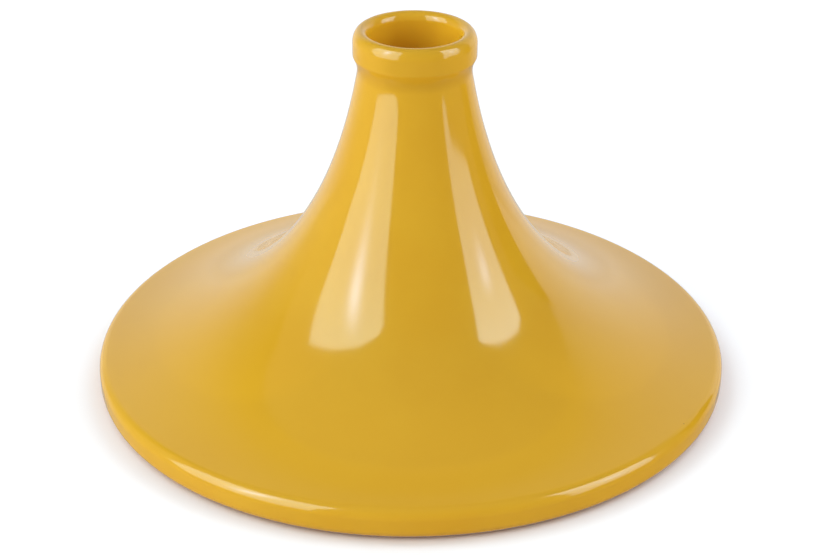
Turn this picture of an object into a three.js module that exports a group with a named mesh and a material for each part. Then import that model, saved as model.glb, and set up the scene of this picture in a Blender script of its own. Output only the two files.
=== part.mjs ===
// A tagine of glazed stoneware: a trumpet-shaped lid that seats on a shallow round dish.
// Millimetres, +Z up. The origin is the middle of the dish's foot, on the surface that the tagine stands on.

import * as THREE from "three";

// Outside of the lid
const LID_HEIGHT = 160; // foot of the rim to the top of the lip
const RIM_RADIUS = 140; // where the lid is widest
const RIM_HEIGHT = 14; // foot of the rim to the edge of the brim
const RIM_UPPER_ROUND = 5;
const RIM_LOWER_ROUND = 5;
const BRIM_SLOPE = 10.2; // degrees from level, where the brim leaves the rim
const BRIM_REACH = 74.2; // pull of that slope on the curve that sweeps up into the cone
const NECK_RADIUS = 24.6; // top of the cone, just under the collar
const NECK_LEAN = 10.1; // degrees from upright, at the top of the cone
const NECK_REACH = 59.9; // pull of that lean on the curve that sweeps out into the brim

// Collar round the top of the lid, and the closed cup inside it
const COLLAR_HEIGHT = 19.5; // top of the cone to the top of the lip
const COLLAR_PROUD = 1.7; // how far the collar stands out from the neck
const COLLAR_UNDER_ROUND = 2.9; // rounding of the collar's lower edge
const COLLAR_COVE = 11.2; // hollow between that edge and the neck
const LIP_OUTER_WIDTH = 3.5; // outer edge of the collar to the crest of the lip
const LIP_OUTER_DROP = 5.5; // height of the rounding between them
const LIP_INNER_DROP = 4; // height of the rounding from the crest of the lip to the side of the cup
const NECK_WALL = 5.2; // neck to the side of the cup
const CUP_DEPTH = 34.5;
const CUP_CORNER = 8; // rounding at the bottom of the cup
const CUP_FLOOR = 6; // thickness under the cup

// Inside of the lid
const LID_WALL = 6; // cone and brim
const CEILING_DROP = 14; // height of the rounded ceiling under the cup
const CEILING_FLATNESS = 0.6; // share of the ceiling's run that the curve stays level for
const RIM_FOOT_WIDTH = 5; // flat ring that the lid stands on when it is off the dish
const RIM_COVE = 6; // rounding between the brim's underside and the inside of the rim

// Dish
const SEAT_RADIUS = 95; // circle on the lid's underside that the dish carries
const DISH_WALL = 5.5;
const DISH_LEAN = 25; // degrees from upright, where the wall reaches the rim
const DISH_FOOT_RADIUS = 64;
const DISH_FOOT_WIDTH = 6;
const DISH_FOOT_HEIGHT = 3;
const BOWL_FLATNESS = 0.6; // share of the bowl's run that the curve stays level for
const BOWL_UPRIGHTNESS = 0.5; // share of the bowl's rise that the curve keeps its lean for

// Clearances
const SEAT_GAP = 0.3; // lid's underside to the dish's rim
const STAND_GAP = 0.4; // lid's rim to the surface below, since the dish carries the lid

// Facets
const ROUND_STEPS = 56; // around the axis
const SWEEP_STEPS = 14; // along the cone and brim
const BOWL_STEPS = 8; // along the dish's wall
const CEILING_STEPS = 5;
const COVE_STEPS = 4; // inside the rim
const ARC_STEP = 22.5; // degrees of a small rounding in one facet
const HALVINGS = 50; // in the search for a place on a curve

const GLAZE_YELLOW = 0xd9a62b;
const GLAZE_ROUGHNESS = 0.12;

// Points here are (distance from the axis, height).
const at = (radius, height) => new THREE.Vector2(radius, height);
const radians = THREE.MathUtils.degToRad;

// Points of an arc, with angles in degrees from outwards (0) to upwards (90). It may be taller than it is wide.
function arc(centre, radius, from, to, height = radius) {
  const steps = Math.max(2, Math.ceil(Math.abs(to - from) / ARC_STEP));
  return spread(radians(from), radians(to), steps).map((angle) =>
    at(radius * Math.cos(angle), height * Math.sin(angle)).add(centre),
  );
}

// A point on the side of a curve, to the left of the way that it runs.
function beside(curve, t, distance) {
  const tangent = curve.getTangent(t);
  const left = at(-tangent.y, tangent.x);
  return curve.getPoint(t).addScaledVector(left, distance);
}

// The place on a curve where a measure of it, which only rises or only falls, reaches a value.
// It is found by halving the stretch that holds it.
function whereReaches(measure, value) {
  const rises = measure(1) > measure(0);
  let low = 0;
  let high = 1;
  for (let i = 0; i < HALVINGS; i++) {
    const middle = (low + high) / 2;
    if (measure(middle) < value === rises) low = middle;
    else high = middle;
  }
  return (low + high) / 2;
}

// Evenly spaced values from one to another, both included.
function spread(from, to, steps) {
  return Array.from({ length: steps + 1 }, (_, i) => from + ((to - from) * i) / steps);
}

// Outer sweep of the lid, from the top of the rim to the top of the cone
const slope = radians(BRIM_SLOPE);
const lean = radians(NECK_LEAN);
const rimUpper = at(RIM_RADIUS - RIM_UPPER_ROUND, RIM_HEIGHT - RIM_UPPER_ROUND * Math.cos(slope));
const rimLower = at(RIM_RADIUS - RIM_LOWER_ROUND, RIM_LOWER_ROUND);
const neckTop = at(NECK_RADIUS, LID_HEIGHT - COLLAR_HEIGHT);
const brimEdge = at(rimUpper.x + RIM_UPPER_ROUND * Math.sin(slope), RIM_HEIGHT);
const sweep = new THREE.CubicBezierCurve(
  brimEdge,
  at(-Math.cos(slope), Math.sin(slope)).multiplyScalar(BRIM_REACH).add(brimEdge),
  at(Math.sin(lean), -Math.cos(lean)).multiplyScalar(NECK_REACH).add(neckTop),
  neckTop,
);

// Underside of the cone and brim, one wall below the outer sweep
const underside = (t) => beside(sweep, t, LID_WALL);

// Inside of the lid, from the middle of the ceiling out to the foot of the rim
function lidInside() {
  const ceiling = LID_HEIGHT - CUP_DEPTH - CUP_FLOOR;
  const shoulderAt = whereReaches((t) => underside(t).y, ceiling - CEILING_DROP);
  const shoulder = underside(shoulderAt);
  const dome = new THREE.CubicBezierCurve(
    at(0, ceiling),
    at(CEILING_FLATNESS * shoulder.x, ceiling),
    sweep.getTangent(shoulderAt).multiplyScalar(CEILING_DROP / 2).add(shoulder),
    shoulder,
  );

  const footInside = rimLower.x - RIM_FOOT_WIDTH;
  const coveAt = whereReaches((t) => underside(t).x, footInside - RIM_COVE);
  const coveStart = underside(coveAt);
  const run = sweep.getTangent(coveAt);
  const corner = at(footInside, coveStart.y + (run.y / run.x) * RIM_COVE);
  const cove = new THREE.QuadraticBezierCurve(coveStart, corner, at(footInside, corner.y / 2));

  return [
    ...dome.getPoints(CEILING_STEPS).slice(0, -1),
    ...spread(shoulderAt, coveAt, SWEEP_STEPS).map(underside),
    ...cove.getPoints(COVE_STEPS).slice(1),
    at(footInside, 0),
  ];
}

// Collar, from the top of the cone over the lip to the side of the cup
function collar() {
  const collarRadius = NECK_RADIUS + COLLAR_PROUD;
  const cupRadius = NECK_RADIUS - NECK_WALL;
  const lipCrest = collarRadius - LIP_OUTER_WIDTH;
  // The hollow and the rounded edge meet where both slope inwards alike.
  const bothRounds = COLLAR_UNDER_ROUND + COLLAR_COVE;
  const bend = Math.acos((COLLAR_UNDER_ROUND + COLLAR_COVE * Math.cos(lean) - COLLAR_PROUD) / bothRounds);
  const bendDegrees = THREE.MathUtils.radToDeg(bend);
  const coveCentre = neckTop.clone().addScaledVector(at(Math.cos(lean), Math.sin(lean)), COLLAR_COVE);
  const edgeCentre = at(
    collarRadius - COLLAR_UNDER_ROUND,
    coveCentre.y + bothRounds * Math.sin(bend),
  );
  return [
    ...arc(coveCentre, COLLAR_COVE, 180 + NECK_LEAN, 180 - bendDegrees),
    ...arc(edgeCentre, COLLAR_UNDER_ROUND, -bendDegrees, 0).slice(1),
    ...arc(at(lipCrest, LID_HEIGHT - LIP_OUTER_DROP), LIP_OUTER_WIDTH, 0, 90, LIP_OUTER_DROP),
    ...arc(at(lipCrest, LID_HEIGHT - LIP_INNER_DROP), lipCrest - cupRadius, 90, 180, LIP_INNER_DROP).slice(1),
  ];
}

// Side and bottom of the cup, from under the lip to the axis
function cup() {
  const bottom = LID_HEIGHT - CUP_DEPTH;
  const cornerCentre = at(NECK_RADIUS - NECK_WALL - CUP_CORNER, bottom + CUP_CORNER);
  return [...arc(cornerCentre, CUP_CORNER, 0, -90), at(0, bottom)];
}

function lidProfile() {
  return [
    ...lidInside(),
    ...arc(rimLower, RIM_LOWER_ROUND, -90, 0),
    ...arc(rimUpper, RIM_UPPER_ROUND, 0, 90 - BRIM_SLOPE),
    ...spread(0, 1, SWEEP_STEPS).slice(1, -1).map((t) => sweep.getPoint(t)),
    ...collar(),
    ...cup(),
  ];
}

// The dish's rim is a full round that meets the lid's underside square on, a clearance away.
function dishProfile() {
  const rimRound = DISH_WALL / 2;
  const seatAt = whereReaches((t) => underside(t).x, SEAT_RADIUS);
  const dishRim = beside(sweep, seatAt, LID_WALL + SEAT_GAP + rimRound);
  dishRim.y += STAND_GAP;

  const wallLean = radians(DISH_LEAN);
  const outwards = at(Math.cos(wallLean), -Math.sin(wallLean));
  const bowlStart = at(DISH_FOOT_RADIUS, DISH_FOOT_HEIGHT);
  const bowlEnd = dishRim.clone().addScaledVector(outwards, rimRound);
  const run = bowlEnd.x - bowlStart.x;
  const rise = bowlEnd.y - bowlStart.y;
  const upwards = at(Math.tan(wallLean), 1);
  const bowl = new THREE.CubicBezierCurve(
    bowlStart,
    at(bowlStart.x + BOWL_FLATNESS * run, bowlStart.y),
    bowlEnd.clone().addScaledVector(upwards, -BOWL_UPRIGHTNESS * rise),
    bowlEnd,
  );

  return [
    at(0, DISH_FOOT_HEIGHT),
    at(DISH_FOOT_RADIUS - DISH_FOOT_WIDTH, DISH_FOOT_HEIGHT),
    at(DISH_FOOT_RADIUS - DISH_FOOT_WIDTH, 0),
    at(DISH_FOOT_RADIUS, 0),
    ...bowl.getPoints(BOWL_STEPS),
    ...arc(dishRim, rimRound, -DISH_LEAN, 180 - DISH_LEAN).slice(1, -1),
    ...spread(1, 0, BOWL_STEPS).map((t) => beside(bowl, t, DISH_WALL)),
    at(0, DISH_FOOT_HEIGHT + DISH_WALL),
  ];
}

// A piece turned about the vertical axis from its profile.
function turned(name, profile) {
  const geometry = new THREE.LatheGeometry(profile, ROUND_STEPS);
  geometry.rotateX(Math.PI / 2);
  const glaze = new THREE.MeshStandardMaterial({
    color: GLAZE_YELLOW,
    roughness: GLAZE_ROUGHNESS,
    metalness: 0,
  });
  const mesh = new THREE.Mesh(geometry, glaze);
  mesh.name = name;
  return mesh;
}

const dish = turned("dish", dishProfile());
const lid = turned("lid", lidProfile());
lid.position.z = STAND_GAP;

const tagine = new THREE.Group();
tagine.name = "tagine";
tagine.add(dish, lid);

export default tagine;
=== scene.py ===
# A tagine in glossy yellow glaze: its trumpet-shaped lid, and the shallow dish that stands beneath it.
# Metres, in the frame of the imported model. Profiles are (distance from the axis, height).
import math

import bpy
import numpy as np
from mathutils import Matrix, Vector


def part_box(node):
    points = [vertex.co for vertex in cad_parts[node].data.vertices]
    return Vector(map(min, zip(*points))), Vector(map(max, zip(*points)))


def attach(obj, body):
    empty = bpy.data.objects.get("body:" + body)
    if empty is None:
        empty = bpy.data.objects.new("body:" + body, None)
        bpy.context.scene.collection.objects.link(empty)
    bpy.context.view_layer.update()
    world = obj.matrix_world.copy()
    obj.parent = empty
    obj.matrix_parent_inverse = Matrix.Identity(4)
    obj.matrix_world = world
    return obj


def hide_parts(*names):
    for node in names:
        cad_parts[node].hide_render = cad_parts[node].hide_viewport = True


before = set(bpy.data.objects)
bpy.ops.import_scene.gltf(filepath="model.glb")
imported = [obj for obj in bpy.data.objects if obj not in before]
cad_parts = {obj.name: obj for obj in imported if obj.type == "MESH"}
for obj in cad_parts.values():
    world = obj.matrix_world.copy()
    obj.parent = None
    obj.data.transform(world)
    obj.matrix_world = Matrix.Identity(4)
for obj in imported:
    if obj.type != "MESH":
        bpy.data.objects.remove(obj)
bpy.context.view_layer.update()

MM = 0.001

# Outside of the lid
LID_LOW, LID_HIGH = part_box("lid")
LID_FOOT = LID_LOW.z  # the dish holds the lid's rim just clear of the floor
LID_HEIGHT = LID_HIGH.z - LID_LOW.z
RIM_RADIUS = (LID_HIGH.x - LID_LOW.x) / 2
RIM_HEIGHT = 14 * MM  # foot of the rim to the edge of the brim
RIM_UPPER_ROUND = 5 * MM
RIM_LOWER_ROUND = 5 * MM
BRIM_SLOPE = math.radians(10.2)  # from level, where the brim leaves the rim
BRIM_REACH = 74.2 * MM  # pull of that slope on the curve that sweeps up into the cone
NECK_RADIUS = 24.6 * MM  # top of the cone, just under the collar
NECK_LEAN = math.radians(10.1)  # from upright, at the top of the cone
NECK_REACH = 59.9 * MM  # pull of that lean on the curve that sweeps out into the brim

# Collar and the cup inside it
COLLAR_HEIGHT = 19.5 * MM
COLLAR_PROUD = 1.7 * MM  # how far the collar stands out from the neck
COLLAR_UNDER_ROUND = 2.9 * MM
COLLAR_COVE = 11.2 * MM  # hollow between the collar's lower edge and the neck
LIP_OUTER_WIDTH = 3.5 * MM  # outer edge of the collar to the crest of the lip
LIP_OUTER_DROP = 5.5 * MM
LIP_INNER_DROP = 4 * MM
NECK_WALL = 5.2 * MM
CUP_DEPTH = 34.5 * MM
CUP_CORNER = 8 * MM
CUP_FLOOR = 6 * MM

# Inside of the lid
LID_WALL = 6 * MM
CEILING_DROP = 14 * MM  # height of the rounded ceiling under the cup
CEILING_FLATNESS = 0.6  # share of the ceiling's run that the curve stays level for
RIM_FOOT_WIDTH = 5 * MM
RIM_COVE = 6 * MM

# Dish
DISH_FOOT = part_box("dish")[0].z
SEAT_RADIUS = 95 * MM  # circle on the lid's underside that the dish carries
SEAT_GAP = 0.3 * MM
DISH_WALL = 5.5 * MM
DISH_LEAN = math.radians(25)  # from upright, where the wall reaches the rim
DISH_FOOT_RADIUS = 64 * MM
DISH_FOOT_WIDTH = 6 * MM
DISH_FOOT_HEIGHT = 3 * MM
BOWL_FLATNESS = 0.6  # share of the bowl's run that the curve stays level for
BOWL_UPRIGHTNESS = 0.5  # share of the bowl's rise that the curve keeps its lean for
FOOT_EDGE = 0.8 * MM  # softened corners of both foot rings

# Unevenness of a hand-turned lid
RIM_WAVES = (  # waves round the rim, how far each goes out, and where it is widest
    (1, 0.3 * MM, math.radians(170)),
    (2, 0.6 * MM, math.radians(55)),
    (3, 0.6 * MM, math.radians(-22)),
)
UNEVEN_FROM = 100 * MM  # outside the seat, which stays true
NECK_OFFSET = 0.5 * MM  # how far the cone stands off the axis, to the right
NECK_OFFSET_FADE = (60 * MM, 90 * MM)  # distances from the axis where that starts to fade, and ends

# Painted light on the brim and in the mouth, painted shade in the hollows, and where the glaze stops
BRIM_LIGHT_FADE = (65 * MM, 112 * MM)  # distances from the axis between which the brim is painted paler outwards, as painted light from above
BRIM_PAINTED_LIGHT = 0.5  # share of painted light at the edge of the brim
COVE_PAINTED_SHADE = 0.45  # share of painted shade in the hollow under the collar
RIM_COVE_PAINTED_SHADE = 0.3  # the same painted shade, inside the rim
RIM_BARE_STEPS = 2  # steps up the rim's lower rounding by which the bare clay ends

# Steps along the profiles and round the axis
ROUND_STEPS = 192
SWEEP_STEPS = 96
UNDERSIDE_STEPS = 48
BOWL_STEPS = 32
CEILING_STEPS = 14
ARC_STEP = math.radians(6)
LEAST_ARC_STEPS = 3
CORNER_STEPS = 5
HALVINGS = 50

# Glaze and clay. A scale is roughly how many of a pattern's features lie in a metre. Limits are its levels.
GLAZE = (0.607, 0.292, 0.017)
GLAZE_RICH = (0.592, 0.277, 0.015)
# Painted shade: a darker colour for the hollows
GLAZE_PAINTED_SHADE = (0.430, 0.190, 0.006)
# Painted light: a paler colour for the brim and the mouth
GLAZE_PAINTED_LIGHT = (0.755, 0.360, 0.020)
GLAZE_SPECK = (0.200, 0.085, 0.012)
GLAZE_ROUGHNESS = (0.0765, 0.108)  # where it is glossiest and dullest
GLAZE_IOR = 1.57
CLAY = (0.560, 0.420, 0.285)
CLAY_DARK = (0.400, 0.280, 0.180)
CLAY_ROUGHNESS = 0.85
DRIFT_SCALE = 28.0
DRIFT_DETAIL = 3.0
DRIFT_LIMITS = (0.35, 0.7)
PAINTED_SHADE_STRENGTH = 0.6  # share of the painted-shade colour where the painted shade is full
SPECK_SCALE = 70.0
SPECK_EDGE = (0.014, 0.03)  # where a speck starts to fade and ends, in cells from its middle
SPECK_LIMITS = (0.97, 0.98)  # leave a speck in about one cell of 40
GLOSS_SCALE = 60.0
GLOSS_LIMITS = (0.3, 0.7)
GRAIN_SCALE = 900.0
GRAIN_DETAIL = 4.0
GRAIN_LIMITS = (0.35, 0.65)
RAGGED_SCALE = 160.0
RAGGED_REACH = 0.5  # how far the line between glaze and clay wanders, as a share of bare clay
RAGGED_LIMITS = (0.7, 0.78)
PEEL_SCALE = 240.0
RINGS_SCALE = 170.0
RINGS_DETAIL = 1.0
RINGS_STRETCH = (0.12, 0.12, 1.0)  # draws the pattern out sideways
RELIEF = 0.012 * MM  # height of the turning rings
PEEL_RELIEF = 0.25  # height of the orange peel, in heights of the rings
GRAIN_RELIEF = 12.0  # the same, for the grain of bare clay

# Studio. Azimuths are in degrees: 0 is towards the camera, and they grow to the right.
WHITE = (1.0, 1.0, 1.0)
MATT_ROUGHNESS = 0.9

# Softboxes: light at the bottom and at the top, corners in metres across and up, and a hot patch.
# The patch's middle and spread are shares of the softbox's width and height.
SOFTBOX_DISTANCE = 1.4
HOT_TINT = (0.58, 0.77, 1.14)
SOFTBOXES = {
    "left_softbox": {
        "azimuth": -47,
        "tint": (0.83, 1.05, 0.98),
        "light": (2.65, 4.24),
        "hot_light": 6.9,
        "hot_middle": (0.599, 0.498),
        "hot_spread": (0.08, 0.228),
        "corners": [
            (-0.7, 0.0), (0.2, 0.02), (0.46, 0.12), (0.49, 1.9), (0.36, 2.09),
            (-0.1, 2.19), (-0.8, 2.14), (-1.26, 2.03), (-1.03, 0.36),
        ],
    },
    "right_softbox": {
        "azimuth": 39,
        "tint": (0.80, 0.97, 1.0),
        "light": (2.3, 5.54),
        "hot_light": 4.5,
        "hot_middle": (0.371, 0.414),
        "hot_spread": (0.088, 0.097),
        "corners": [
            (0.31, 0.05), (0.47, 0.05), (0.57, 0.16), (1.4, 0.15), (1.58, 0.5), (1.99, 1.66),
            (1.79, 1.92), (1.1, 2.08), (0.66, 2.01), (0.55, 1.93), (0.41, 1.1),
        ],
    },
}

# Backdrop, a pale wall, with its fades as shares of its width from the right and of its height
BACKDROP_AZIMUTH = 180
BACKDROP_DISTANCE = 1.0
BACKDROP_SIDES = (-1.96, 3.0)
BACKDROP_HEIGHT = 2.69
BACKDROP_LIGHT = 1.0
BACKDROP_DIM = 0.34  # light at its left
BACKDROP_FADE = (0.5, 0.72)
BACKDROP_TOP = 0.18  # share of the light that is left at its top
BACKDROP_TOP_FADE = (0.13, 0.75)

# Dark card
CARD_AZIMUTH = 106
CARD_DISTANCE = 0.55
CARD_SIDES = (-0.085, 0.09)
CARD_HEIGHT = 0.25
CARD_COLOUR = (0.01, 0.01, 0.01)

# Floor, and the broad lights on it. A light's places are azimuths with the irradiance from each.
FLOOR_SIDES = (-1.2, 1.2)
FLOOR_ENDS = (-0.6, 1.6)
FLOOR_COLOUR = (0.68, 0.51, 0.44)
FLOOR_TINT = (0.58, 0.94, 1.25)
FLOOR_LIGHTS = {
    "floor_light": {  # from behind
        "places": [(-128, 3.3), (132, 3.35)],
        "tint": FLOOR_TINT,
        "height": math.radians(38),
        "spread": math.radians(60),
    },
    "high_light": {  # from above
        "places": [(180, 3.5)],
        "tint": FLOOR_TINT,
        "height": math.radians(75),
        "spread": math.radians(140),
    },
    "front_light": {  # lifts the shadow under the rim
        "places": [(-10, 0.5)],
        "tint": (0.9, 0.8, 0.7),
        "height": math.radians(18),
        "spread": math.radians(30),
    },
}

# Broad lights on the tagine alone
FILL_LIGHT = {
    "places": [(-80, 1.25), (0, 0.45), (84, 1.4)],
    "tint": (0.90, 1.10, 0.6),
    "height": math.radians(12),
    "spread": math.radians(60),
}

# Room, and the floor that the glaze mirrors. Ways that a mirrored ray points are parts of a unit direction.
ROOM_LEFT = 0.33
ROOM_RIGHT = 0.15
ROOM_FRONT = 0.55  # share of the room's light that is left in front
ROOM_FRONT_FADE = (-0.9, -0.2)  # how far back a way points, where that share ends and where the light is full
FLOOR_MIRRORED = 0.85  # light that the glaze mirrors from the floor behind
FLOOR_BEHIND = (0.2, 0.85)  # how far back a way points, where that light starts and is full
FLOOR_AWAY = (-0.5, -0.25)  # how far up it points, where the floor is near and where it is far
FLOOR_NEAR = 0.3  # share of the light that is left near the tagine
HORIZON = (-0.02, 0.0)  # how far up it points, where the floor gives way to the room

# Camera
CAMERA_PLACE = (0.00195, -0.7237, 0.4278)
CAMERA_DOWN = math.radians(27.99)
CAMERA_ROLL = 0.0083
CAMERA_LENS = 79.3
CAMERA_SENSOR = 36.0


# Curves

def arc(centre, radius, start, end, height=None):
    """Points of an arc, with angles in degrees from outwards (0) to upwards (90).

    It may be taller than it is wide.
    """
    start, end = math.radians(start), math.radians(end)
    steps = max(LEAST_ARC_STEPS, math.ceil(abs(end - start) / ARC_STEP))
    angles = np.linspace(start, end, steps + 1)
    return np.asarray(centre) + np.stack([radius * np.cos(angles), (height or radius) * np.sin(angles)], 1)


def bezier(points, t):
    """Points of a Bezier curve of any order at the places t."""
    t = np.atleast_1d(np.asarray(t, float))
    points = np.asarray(points, float)
    order = len(points) - 1
    shares = [math.comb(order, i) * (1 - t) ** (order - i) * t**i for i in range(order + 1)]
    return np.stack(shares, 1) @ points


def tangent(points, t):
    """Unit directions along a Bezier curve."""
    steps = bezier(np.diff(np.asarray(points, float), axis=0), t)
    return steps / np.linalg.norm(steps, axis=1, keepdims=True)


def beside(points, t, distance):
    """Points on the left side of a Bezier curve, as it runs."""
    along = tangent(points, t)
    left = np.stack([-along[:, 1], along[:, 0]], 1)
    return bezier(points, t) + distance * left


def where_reaches(measure, value):
    """The place, by halving, where a measure that only rises or only falls reaches a value."""
    rises = measure(1) > measure(0)
    low, high = 0.0, 1.0
    for _ in range(HALVINGS):
        middle = (low + high) / 2
        if (measure(middle) < value) == rises:
            low = middle
        else:
            high = middle
    return (low + high) / 2


def softened(before, corner, after, size):
    """A corner that is rounded off over the given size."""
    before, corner, after = (np.asarray(p, float) for p in (before, corner, after))
    start = corner + (before - corner) * size / np.linalg.norm(before - corner)
    end = corner + (after - corner) * size / np.linalg.norm(after - corner)
    return bezier([start, corner, end], np.linspace(0, 1, CORNER_STEPS + 1))


def smooth_step(value, low, high):
    """A rise from 0 to 1 between two limits, with no corner at either."""
    share = np.clip((value - low) / (high - low), 0, 1)
    return share * share * (3 - 2 * share)


# Profiles, with the share of bare clay, of painted shade and of painted light at each point

TRAITS = ("bare", "painted_shade", "painted_light")


def traits(points, bare=0.0, painted_shade=0.0, painted_light=0.0):
    """Profile points with their three shares in three more columns."""
    points = np.atleast_2d(points)
    shares = np.stack([np.broadcast_to(share, len(points)) for share in (bare, painted_shade, painted_light)], 1)
    return np.hstack([points, shares])


# Outer sweep of the lid, from the top of the rim to the top of the cone
RIM_UPPER = np.array([RIM_RADIUS - RIM_UPPER_ROUND, RIM_HEIGHT - RIM_UPPER_ROUND * math.cos(BRIM_SLOPE)])
RIM_LOWER = np.array([RIM_RADIUS - RIM_LOWER_ROUND, RIM_LOWER_ROUND])
NECK_TOP = np.array([NECK_RADIUS, LID_HEIGHT - COLLAR_HEIGHT])
BRIM_EDGE = np.array([RIM_UPPER[0] + RIM_UPPER_ROUND * math.sin(BRIM_SLOPE), RIM_HEIGHT])
SWEEP = [
    BRIM_EDGE,
    BRIM_EDGE + BRIM_REACH * np.array([-math.cos(BRIM_SLOPE), math.sin(BRIM_SLOPE)]),
    NECK_TOP + NECK_REACH * np.array([math.sin(NECK_LEAN), -math.cos(NECK_LEAN)]),
    NECK_TOP,
]


def underside(t):
    """The underside of the cone and brim, one wall below the outer sweep."""
    return beside(SWEEP, t, LID_WALL)


def lid_inside():
    """From the middle of the ceiling out to the foot of the rim."""
    ceiling = LID_HEIGHT - CUP_DEPTH - CUP_FLOOR
    shoulder_at = where_reaches(lambda t: underside(t)[0, 1], ceiling - CEILING_DROP)
    shoulder = underside(shoulder_at)[0]
    dome = [
        (0, ceiling),
        (CEILING_FLATNESS * shoulder[0], ceiling),
        shoulder + CEILING_DROP / 2 * tangent(SWEEP, shoulder_at)[0],
        shoulder,
    ]
    foot_inside = RIM_LOWER[0] - RIM_FOOT_WIDTH
    cove_at = where_reaches(lambda t: underside(t)[0, 0], foot_inside - RIM_COVE)
    cove_start = underside(cove_at)[0]
    run = tangent(SWEEP, cove_at)[0]
    corner = np.array([foot_inside, cove_start[1] + run[1] / run[0] * RIM_COVE])
    cove = [cove_start, corner, (foot_inside, corner[1] / 2)]
    foot = softened((foot_inside, corner[1] / 2), (foot_inside, 0), (RIM_LOWER[0], 0), FOOT_EDGE)
    return [
        traits(bezier(dome, np.linspace(0, 1, CEILING_STEPS + 1))[:-1]),
        traits(underside(np.linspace(shoulder_at, cove_at, UNDERSIDE_STEPS + 1))),
        # Painted shade in the hollow inside the rim
        traits(bezier(cove, np.linspace(0, 1, CORNER_STEPS + 1))[1:], painted_shade=RIM_COVE_PAINTED_SHADE),
        traits(foot, bare=np.linspace(0, 1, len(foot))),
    ]


def collar():
    """From the top of the cone over the lip to the side of the cup."""
    lean = math.degrees(NECK_LEAN)
    collar_radius = NECK_RADIUS + COLLAR_PROUD
    cup_radius = NECK_RADIUS - NECK_WALL
    # The hollow and the rounded edge meet where both slope inwards alike.
    both_rounds = COLLAR_UNDER_ROUND + COLLAR_COVE
    level_part = COLLAR_UNDER_ROUND + COLLAR_COVE * math.cos(NECK_LEAN) - COLLAR_PROUD
    bend = math.acos(level_part / both_rounds)
    cove_centre = NECK_TOP + COLLAR_COVE * np.array([math.cos(NECK_LEAN), math.sin(NECK_LEAN)])
    edge_centre = (collar_radius - COLLAR_UNDER_ROUND, cove_centre[1] + both_rounds * math.sin(bend))
    crest = collar_radius - LIP_OUTER_WIDTH
    lip_outer = arc((crest, LID_HEIGHT - LIP_OUTER_DROP), LIP_OUTER_WIDTH, 0, 90, LIP_OUTER_DROP)
    lip_inner = arc((crest, LID_HEIGHT - LIP_INNER_DROP), crest - cup_radius, 90, 180, LIP_INNER_DROP)
    cove = arc(cove_centre, COLLAR_COVE, 180 + lean, 180 - math.degrees(bend))
    return [
        # Painted shade in the hollow under the collar
        traits(cove, painted_shade=COVE_PAINTED_SHADE * np.sin(np.linspace(0, math.pi, len(cove)))),
        traits(arc(edge_centre, COLLAR_UNDER_ROUND, -math.degrees(bend), 0)[1:]),
        traits(lip_outer),
        # Painted light: the lip's inner rounding grows paler towards the cup, standing in for light reaching
        # into the mouth
        traits(lip_inner[1:], painted_light=np.linspace(0, 1, len(lip_inner) - 1)),
    ]


def cup():
    """From under the lip down to the axis."""
    bottom = LID_HEIGHT - CUP_DEPTH
    centre = (NECK_RADIUS - NECK_WALL - CUP_CORNER, bottom + CUP_CORNER)
    corner = arc(centre, CUP_CORNER, 0, -90)
    deeper = np.linspace(0, 1, len(corner))
    # Painted shade deepening towards the bottom of the cup, and painted light near its top
    return [traits(corner, painted_shade=deeper, painted_light=1 - deeper), traits((0, bottom), painted_shade=1.0)]


def lid_profile():
    """From the middle of the ceiling round the rim and over the lip to the bottom of the cup."""
    rim_low = arc(RIM_LOWER, RIM_LOWER_ROUND, -90, 0)
    rim_top = arc(RIM_UPPER, RIM_UPPER_ROUND, 0, 90 - math.degrees(BRIM_SLOPE))
    rim_bare = np.clip(1 - np.arange(len(rim_low)) / RIM_BARE_STEPS, 0, 1)
    outside = bezier(SWEEP, np.linspace(0, 1, SWEEP_STEPS + 1))[1:-1]
    # Painted light: the brim grows paler outwards, and the rim's top carries it on, standing in for light
    # from above
    brim_lightened = BRIM_PAINTED_LIGHT * smooth_step(outside[:, 0], *BRIM_LIGHT_FADE)
    rim = [traits(rim_low, bare=rim_bare), traits(rim_top, painted_light=np.linspace(0, BRIM_PAINTED_LIGHT, len(rim_top)))]
    parts = [*lid_inside(), *rim, traits(outside, painted_light=brim_lightened), *collar(), *cup()]
    return np.concatenate(parts) + np.array([0, LID_FOOT, 0, 0, 0])


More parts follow.
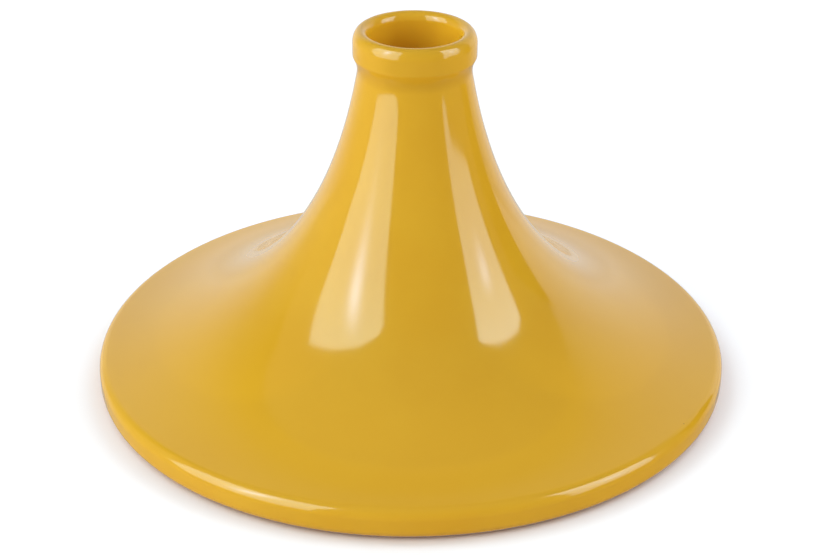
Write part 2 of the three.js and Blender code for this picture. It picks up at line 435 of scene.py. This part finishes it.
def dish_profile():
    """The dish's rim is a full round that meets the lid's underside square on, a clearance away."""
    rim_round = DISH_WALL / 2
    seat_at = where_reaches(lambda t: underside(t)[0, 0], SEAT_RADIUS)
    rim_centre = beside(SWEEP, seat_at, LID_WALL + SEAT_GAP + rim_round)[0] + np.array([0, LID_FOOT])
    lean = math.degrees(DISH_LEAN)
    bowl_start = np.array([DISH_FOOT_RADIUS, DISH_FOOT + DISH_FOOT_HEIGHT])
    bowl_end = rim_centre + rim_round * np.array([math.cos(DISH_LEAN), -math.sin(DISH_LEAN)])
    run, rise = bowl_end - bowl_start
    bowl = [
        bowl_start,
        bowl_start + np.array([BOWL_FLATNESS * run, 0]),
        bowl_end - BOWL_UPRIGHTNESS * rise * np.array([math.tan(DISH_LEAN), 1]),
        bowl_end,
    ]
    foot_inside = DISH_FOOT_RADIUS - DISH_FOOT_WIDTH
    top, bottom = bowl_start[1], DISH_FOOT
    inner_top, inner_low = (foot_inside, top), (foot_inside, bottom)
    outer_low, outer_top = (DISH_FOOT_RADIUS, bottom), (DISH_FOOT_RADIUS, top)
    wall = np.linspace(0, 1, BOWL_STEPS + 1)
    return np.concatenate([
        traits((0, top)),
        traits(softened((0, top), inner_top, inner_low, FOOT_EDGE)),
        traits(softened(inner_top, inner_low, outer_low, FOOT_EDGE), bare=1.0),
        traits(softened(inner_low, outer_low, outer_top, FOOT_EDGE), bare=1.0),
        traits(softened(outer_low, outer_top, bowl[1], FOOT_EDGE)),
        traits(bezier(bowl, wall)[2:]),
        traits(arc(rim_centre, rim_round, -lean, 180 - lean)[1:-1]),
        # Painted shade, darker towards the middle of the dish
        traits(beside(bowl, wall[::-1], DISH_WALL), painted_shade=wall),
        traits((0, top + DISH_WALL), painted_shade=1.0),
    ])


# Pieces

def place(name, data):
    """A new object in the scene."""
    thing = bpy.data.objects.new(name, data)
    bpy.context.scene.collection.objects.link(thing)
    return thing


def uneven(radius, turn):
    """How far a hand-turned lid strays outwards at a distance from the axis and a turn about it."""
    brim = sum(reach * np.cos(waves * (turn - widest)) for waves, reach, widest in RIM_WAVES)
    cone = NECK_OFFSET * np.cos(turn) * np.clip(radius / NECK_RADIUS, 0, 1)
    brim_share = smooth_step(radius, UNEVEN_FROM, RIM_RADIUS)
    cone_share = 1 - smooth_step(radius, *NECK_OFFSET_FADE)
    return brim_share * brim + cone_share * cone


def turned(name, profile, stray=None):
    """A closed mesh turned about the axis from a profile that starts and ends on it."""
    turns = np.linspace(0, 2 * math.pi, ROUND_STEPS, endpoint=False)
    rings = profile[1:-1]
    radius = np.repeat(rings[:, :1], ROUND_STEPS, axis=1)
    if stray:
        radius = radius + stray(radius, turns)
    height = np.repeat(rings[:, 1:2], ROUND_STEPS, axis=1)
    points = np.stack([radius * np.cos(turns), radius * np.sin(turns), height], 2).reshape(-1, 3)
    first, last = len(points), len(points) + 1
    points = np.vstack([points, (0, 0, profile[0, 1]), (0, 0, profile[-1, 1])])

    faces = []
    for i in range(ROUND_STEPS):
        j = (i + 1) % ROUND_STEPS
        faces.append((first, i, j))
        for ring in range(len(rings) - 1):
            low, high = ring * ROUND_STEPS, (ring + 1) * ROUND_STEPS
            faces.append((low + i, high + i, high + j, low + j))
        top = (len(rings) - 1) * ROUND_STEPS
        faces.append((top + i, last, top + j))

    mesh = bpy.data.meshes.new(name)
    mesh.from_pydata(points.tolist(), [], faces)
    mesh.polygons.foreach_set("use_smooth", np.ones(len(faces), bool))
    for column, trait in enumerate(TRAITS, 2):
        values = np.concatenate([np.repeat(rings[:, column], ROUND_STEPS), profile[[0, -1], column]])
        mesh.attributes.new(trait, "FLOAT", "POINT").data.foreach_set("value", values.astype(np.float32))
    mesh.update()
    return place(name, mesh)


# Nodes

def emptied(owner):
    """The node tree of a material or world, with nothing in it."""
    owner.use_nodes = True
    owner.node_tree.nodes.clear()
    return owner.node_tree


def fill(tree, socket, value):
    """Links a socket to another one, or sets its value."""
    if isinstance(value, bpy.types.NodeSocket):
        tree.links.new(value, socket)
    else:
        socket.default_value = value


def add(tree, kind, inputs=None, **settings):
    """A new node with its settings and the values or links of its inputs."""
    node = tree.nodes.new(kind)
    for key, value in settings.items():
        setattr(node, key, value)
    for key, value in (inputs or {}).items():
        fill(tree, node.inputs[key], value)
    return node


def maths(tree, operation, a, b=0.0):
    return add(tree, "ShaderNodeMath", {0: a, 1: b}, operation=operation).outputs[0]


def rgba(colour):
    """A colour with its alpha. A link stays as it is."""
    return colour if isinstance(colour, bpy.types.NodeSocket) else (*colour, 1.0)


def blend(tree, share, first, second, data_type="FLOAT", suffix="_Float"):
    """A number between two, or with another type, a value of that type."""
    node = add(tree, "ShaderNodeMix", data_type=data_type)
    values = {"Factor_Float": share, "A" + suffix: first, "B" + suffix: second}
    for socket in node.inputs:
        if socket.identifier in values:
            fill(tree, socket, values[socket.identifier])
    return next(socket for socket in node.outputs if socket.identifier == "Result" + suffix)


def blend_colours(tree, share, first, second):
    """A colour between two, in linear light."""
    return blend(tree, share, rgba(first), rgba(second), "RGBA", "_Color")


def ramp(tree, value, limits, results=(0.0, 1.0), kind="SMOOTHSTEP"):
    """A step from one result to the other while a value goes from one limit to the other."""
    inputs = {
        "Value": value,
        "From Min": limits[0],
        "From Max": limits[1],
        "To Min": results[0],
        "To Max": results[1],
    }
    return add(tree, "ShaderNodeMapRange", inputs, interpolation_type=kind).outputs["Result"]


def noise(tree, where, scale, detail=2.0):
    inputs = {"Vector": where, "Scale": scale, "Detail": detail}
    return add(tree, "ShaderNodeTexNoise", inputs).outputs["Fac"]


# The tagine

def glaze_material():
    """Glossy yellow glaze, with bare clay on the foot rings, painted shade in the hollows and painted light
    on the brim and in the mouth.
    """
    material = bpy.data.materials.new("yellow_glaze")
    tree = emptied(material)
    where = add(tree, "ShaderNodeTexCoord").outputs["Object"]
    bare_share, shade_share, light_share = (
        add(tree, "ShaderNodeAttribute", attribute_name=trait).outputs["Fac"] for trait in TRAITS
    )

    # Colour drifts a little over centimetres, is painted paler as light on the brim and in the mouth, and
    # painted darker as shade in the hollows.
    drift = ramp(tree, noise(tree, where, DRIFT_SCALE, DRIFT_DETAIL), DRIFT_LIMITS)
    colour = blend_colours(tree, drift, GLAZE, GLAZE_RICH)
    # Painted light on the brim and in the mouth
    colour = blend_colours(tree, light_share, colour, GLAZE_PAINTED_LIGHT)
    # Painted shade in the hollows
    colour = blend_colours(tree, maths(tree, "MULTIPLY", shade_share, PAINTED_SHADE_STRENGTH), colour, GLAZE_PAINTED_SHADE)

    # A few iron specks, about half a millimetre across.
    cells = add(tree, "ShaderNodeTexVoronoi", {"Vector": where, "Scale": SPECK_SCALE})
    dot = ramp(tree, cells.outputs["Distance"], SPECK_EDGE, (1.0, 0.0))
    lot = add(tree, "ShaderNodeSeparateColor", {0: cells.outputs["Color"]}).outputs[0]
    speck = maths(tree, "MULTIPLY", dot, ramp(tree, lot, SPECK_LIMITS))
    colour = blend_colours(tree, speck, colour, GLAZE_SPECK)

    # Bare clay, with a ragged line where the glaze stops.
    grain = noise(tree, where, GRAIN_SCALE, GRAIN_DETAIL)
    wander = maths(tree, "MULTIPLY", noise(tree, where, RAGGED_SCALE), RAGGED_REACH)
    bare = ramp(tree, maths(tree, "ADD", bare_share, wander), RAGGED_LIMITS)
    clay = blend_colours(tree, ramp(tree, grain, GRAIN_LIMITS), CLAY, CLAY_DARK)
    colour = blend_colours(tree, bare, colour, clay)
    gloss = ramp(tree, noise(tree, where, GLOSS_SCALE), GLOSS_LIMITS, GLAZE_ROUGHNESS)
    roughness = blend(tree, bare, gloss, CLAY_ROUGHNESS)

    # Fine orange peel in the glaze, faint turning rings, and the clay's grain.
    peel = maths(tree, "MULTIPLY", noise(tree, where, PEEL_SCALE), PEEL_RELIEF)
    stretched = add(tree, "ShaderNodeVectorMath", {0: where, 1: RINGS_STRETCH}, operation="MULTIPLY")
    rings = noise(tree, stretched.outputs["Vector"], RINGS_SCALE, RINGS_DETAIL)
    rough = maths(tree, "MULTIPLY", maths(tree, "MULTIPLY", grain, bare), GRAIN_RELIEF)
    relief = maths(tree, "ADD", maths(tree, "ADD", peel, rings), rough)
    bump = add(tree, "ShaderNodeBump", {"Height": relief, "Distance": RELIEF})

    looks = {
        "Base Color": colour,
        "Roughness": roughness,
        "Normal": bump.outputs["Normal"],
        "IOR": GLAZE_IOR,
    }
    shader = add(tree, "ShaderNodeBsdfPrincipled", looks)
    add(tree, "ShaderNodeOutputMaterial", {"Surface": shader.outputs["BSDF"]})
    return material


def make_tagine():
    glaze = glaze_material()
    pieces = []
    for name, profile, stray in (("lid", lid_profile(), uneven), ("dish", dish_profile(), None)):
        piece = turned(name + "_glazed", profile, stray)
        piece.data.materials.append(glaze)
        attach(piece, name)
        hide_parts(name)
        pieces.append(piece)
    return pieces


# The studio

UV_LAYER = "UVMap"


def direction(azimuth):
    """The level way out at an azimuth."""
    turn = math.radians(azimuth)
    return Vector((math.sin(turn), -math.cos(turn), 0))


def panel(name, azimuth, distance, corners):
    """An upright panel that the glaze mirrors, from how far across and how high each corner is.

    It isn't seen itself and casts no shadow.
    """
    out, side = direction(azimuth), direction(azimuth + 90)
    points = [out * distance + side * across + Vector((0, 0, height)) for across, height in corners]
    mesh = bpy.data.meshes.new(name)
    mesh.from_pydata(points, [], [range(len(points))])
    places = np.array(corners, float)
    places = (places - places.min(0)) / np.ptp(places, axis=0)
    layer = mesh.uv_layers.new(name=UV_LAYER)
    layer.data.foreach_set("uv", places.ravel())
    stage_object = place(name, mesh)
    stage_object.visible_camera = False
    stage_object.visible_shadow = False
    return stage_object


def standing(sides, height):
    """Corners of a panel that stands on the floor."""
    start, end = sides
    return [(start, 0.0), (end, 0.0), (end, height), (start, height)]


def matt_material(name, colour):
    material = bpy.data.materials.new(name)
    material.use_nodes = True
    shader = material.node_tree.nodes["Principled BSDF"]
    shader.inputs["Base Color"].default_value = rgba(colour)
    shader.inputs["Roughness"].default_value = MATT_ROUGHNESS
    shader.inputs["Specular IOR Level"].default_value = 0.0
    return material


def glowing_material(name, *lights):
    """The sum of some lights, each a tint and a function that makes the nodes of its strength."""
    material = bpy.data.materials.new(name)
    tree = emptied(material)
    where = add(tree, "ShaderNodeUVMap", uv_map=UV_LAYER).outputs["UV"]
    shown = None
    for tint, strength in lights:
        inputs = {"Color": rgba(tint), "Strength": strength(tree, where)}
        light = add(tree, "ShaderNodeEmission", inputs).outputs["Emission"]
        if shown is None:
            shown = light
        else:
            shown = add(tree, "ShaderNodeAddShader", {0: shown, 1: light}).outputs[0]
    add(tree, "ShaderNodeOutputMaterial", {"Surface": shown})
    return material


def upward_strength(at_bottom, at_top):
    """Light that changes evenly from the bottom to the top."""
    def strength(tree, where):
        height = add(tree, "ShaderNodeSeparateXYZ", {0: where}).outputs["Y"]
        return ramp(tree, height, (0.0, 1.0), (at_bottom, at_top), "LINEAR")
    return strength


def patch_strength(peak, middle, spread):
    """A soft patch of light."""
    def strength(tree, where):
        offset = add(tree, "ShaderNodeVectorMath", {0: where, 1: (*middle, 0)}, operation="SUBTRACT")
        inputs = {0: offset.outputs[0], 1: (*spread, 1)}
        scaled = add(tree, "ShaderNodeVectorMath", inputs, operation="DIVIDE")
        away = add(tree, "ShaderNodeVectorMath", {0: scaled.outputs[0]}, operation="LENGTH").outputs["Value"]
        fall = maths(tree, "MULTIPLY", maths(tree, "MULTIPLY", away, away), -1.0)
        return maths(tree, "MULTIPLY", maths(tree, "EXPONENT", fall), peak)
    return strength


def backdrop_strength(tree, where):
    """Even at the right and behind, fading to the left and towards the top."""
    spot = add(tree, "ShaderNodeSeparateXYZ", {0: where})
    across = ramp(tree, spot.outputs["X"], BACKDROP_FADE, (BACKDROP_LIGHT, BACKDROP_DIM))
    upwards = ramp(tree, spot.outputs["Y"], BACKDROP_TOP_FADE, (1.0, BACKDROP_TOP), "LINEAR")
    return maths(tree, "MULTIPLY", across, upwards)


def broad_lights(name, receivers, places, tint, height, spread):
    """Broad lights from far off that fall on some objects alone, and that aren't mirrored."""
    lit = bpy.data.collections.new(name + "_receivers")
    for receiver in receivers:
        lit.objects.link(receiver)
    for azimuth, irradiance in places:
        data = bpy.data.lights.new(name, "SUN")
        data.energy = irradiance
        data.color = tint
        data.angle = spread
        light = place(name, data)
        aim = direction(azimuth) + Vector((0, 0, math.tan(height)))
        light.rotation_euler = aim.to_track_quat("Z", "Y").to_euler()
        light.light_linking.receiver_collection = lit
        light.visible_glossy = False


def make_floor():
    """A white sheet that the tagine stands on, with lights of its own. The glaze doesn't mirror it."""
    mesh = bpy.data.meshes.new("floor")
    (left, right), (near, far) = FLOOR_SIDES, FLOOR_ENDS
    mesh.from_pydata([(left, near, 0), (right, near, 0), (right, far, 0), (left, far, 0)], [], [(0, 1, 2, 3)])
    floor = place("floor", mesh)
    mesh.materials.append(matt_material("floor_white", FLOOR_COLOUR))
    floor.visible_glossy = False
    for name, light in FLOOR_LIGHTS.items():
        broad_lights(name, [floor], **light)


def make_softbox(name, azimuth, tint, light, hot_light, hot_middle, hot_spread, corners):
    softbox = panel(name, azimuth, SOFTBOX_DISTANCE, corners)
    wide = (tint, upward_strength(*light))
    hot = (HOT_TINT, patch_strength(hot_light, hot_middle, hot_spread))
    softbox.data.materials.append(glowing_material(name + "_light", wide, hot))


def make_lights(pieces):
    """Dim fills, two tall softboxes in front, a pale wall behind and a dark card at the right."""
    broad_lights("fill_light", pieces, **FILL_LIGHT)
    for name, softbox in SOFTBOXES.items():
        make_softbox(name, **softbox)

    corners = standing(BACKDROP_SIDES, BACKDROP_HEIGHT)
    backdrop = panel("backdrop", BACKDROP_AZIMUTH, BACKDROP_DISTANCE, corners)
    backdrop.data.materials.append(glowing_material("backdrop_light", (WHITE, backdrop_strength)))

    card = panel("dark_card", CARD_AZIMUTH, CARD_DISTANCE, standing(CARD_SIDES, CARD_HEIGHT))
    card.data.materials.append(matt_material("dark_card", CARD_COLOUR))


def make_surroundings():
    """A dim room, lighter at the left, with the floor that the glaze mirrors. The camera sees it as white."""
    world = bpy.data.worlds.new("studio")
    bpy.context.scene.world = world
    tree = emptied(world)
    way = add(tree, "ShaderNodeSeparateXYZ", {0: add(tree, "ShaderNodeTexCoord").outputs["Generated"]})
    right, back, up = way.outputs
    room = ramp(tree, right, (-1.0, 1.0), (ROOM_LEFT, ROOM_RIGHT), "LINEAR")
    room = maths(tree, "MULTIPLY", room, ramp(tree, back, ROOM_FRONT_FADE, (ROOM_FRONT, 1.0)))
    behind = ramp(tree, back, FLOOR_BEHIND)
    away = ramp(tree, up, FLOOR_AWAY, (FLOOR_NEAR, 1.0))
    below = ramp(tree, up, HORIZON, (1.0, 0.0))
    floor_share = maths(tree, "MULTIPLY", below, maths(tree, "MULTIPLY", behind, away))
    level = blend(tree, floor_share, room, FLOOR_MIRRORED)
    dim = add(tree, "ShaderNodeBackground", {"Color": rgba(WHITE), "Strength": level})
    white = add(tree, "ShaderNodeBackground", {"Color": rgba(WHITE), "Strength": 1.0})
    seen = add(tree, "ShaderNodeLightPath").outputs["Is Camera Ray"]
    shown = add(tree, "ShaderNodeMixShader", {0: seen, 1: dim.outputs[0], 2: white.outputs[0]})
    add(tree, "ShaderNodeOutputWorld", {"Surface": shown.outputs[0]})


def make_camera():
    data = bpy.data.cameras.new("camera")
    data.sensor_width = CAMERA_SENSOR
    data.lens = CAMERA_LENS
    camera = place("camera", data)
    tilt = Matrix.Rotation(math.pi / 2 - CAMERA_DOWN, 4, "X") @ Matrix.Rotation(CAMERA_ROLL, 4, "Z")
    camera.matrix_world = Matrix.Translation(CAMERA_PLACE) @ tilt
    bpy.context.scene.camera = camera


def set_colours():
    """Plain display colours, with the render's noise smoothed."""
    scene = bpy.context.scene
    scene.view_settings.view_transform = "Standard"
    scene.view_settings.look = "None"
    scene.cycles.use_denoising = True


tagine = make_tagine()
make_floor()
make_lights(tagine)
make_surroundings()
make_camera()
set_colours()
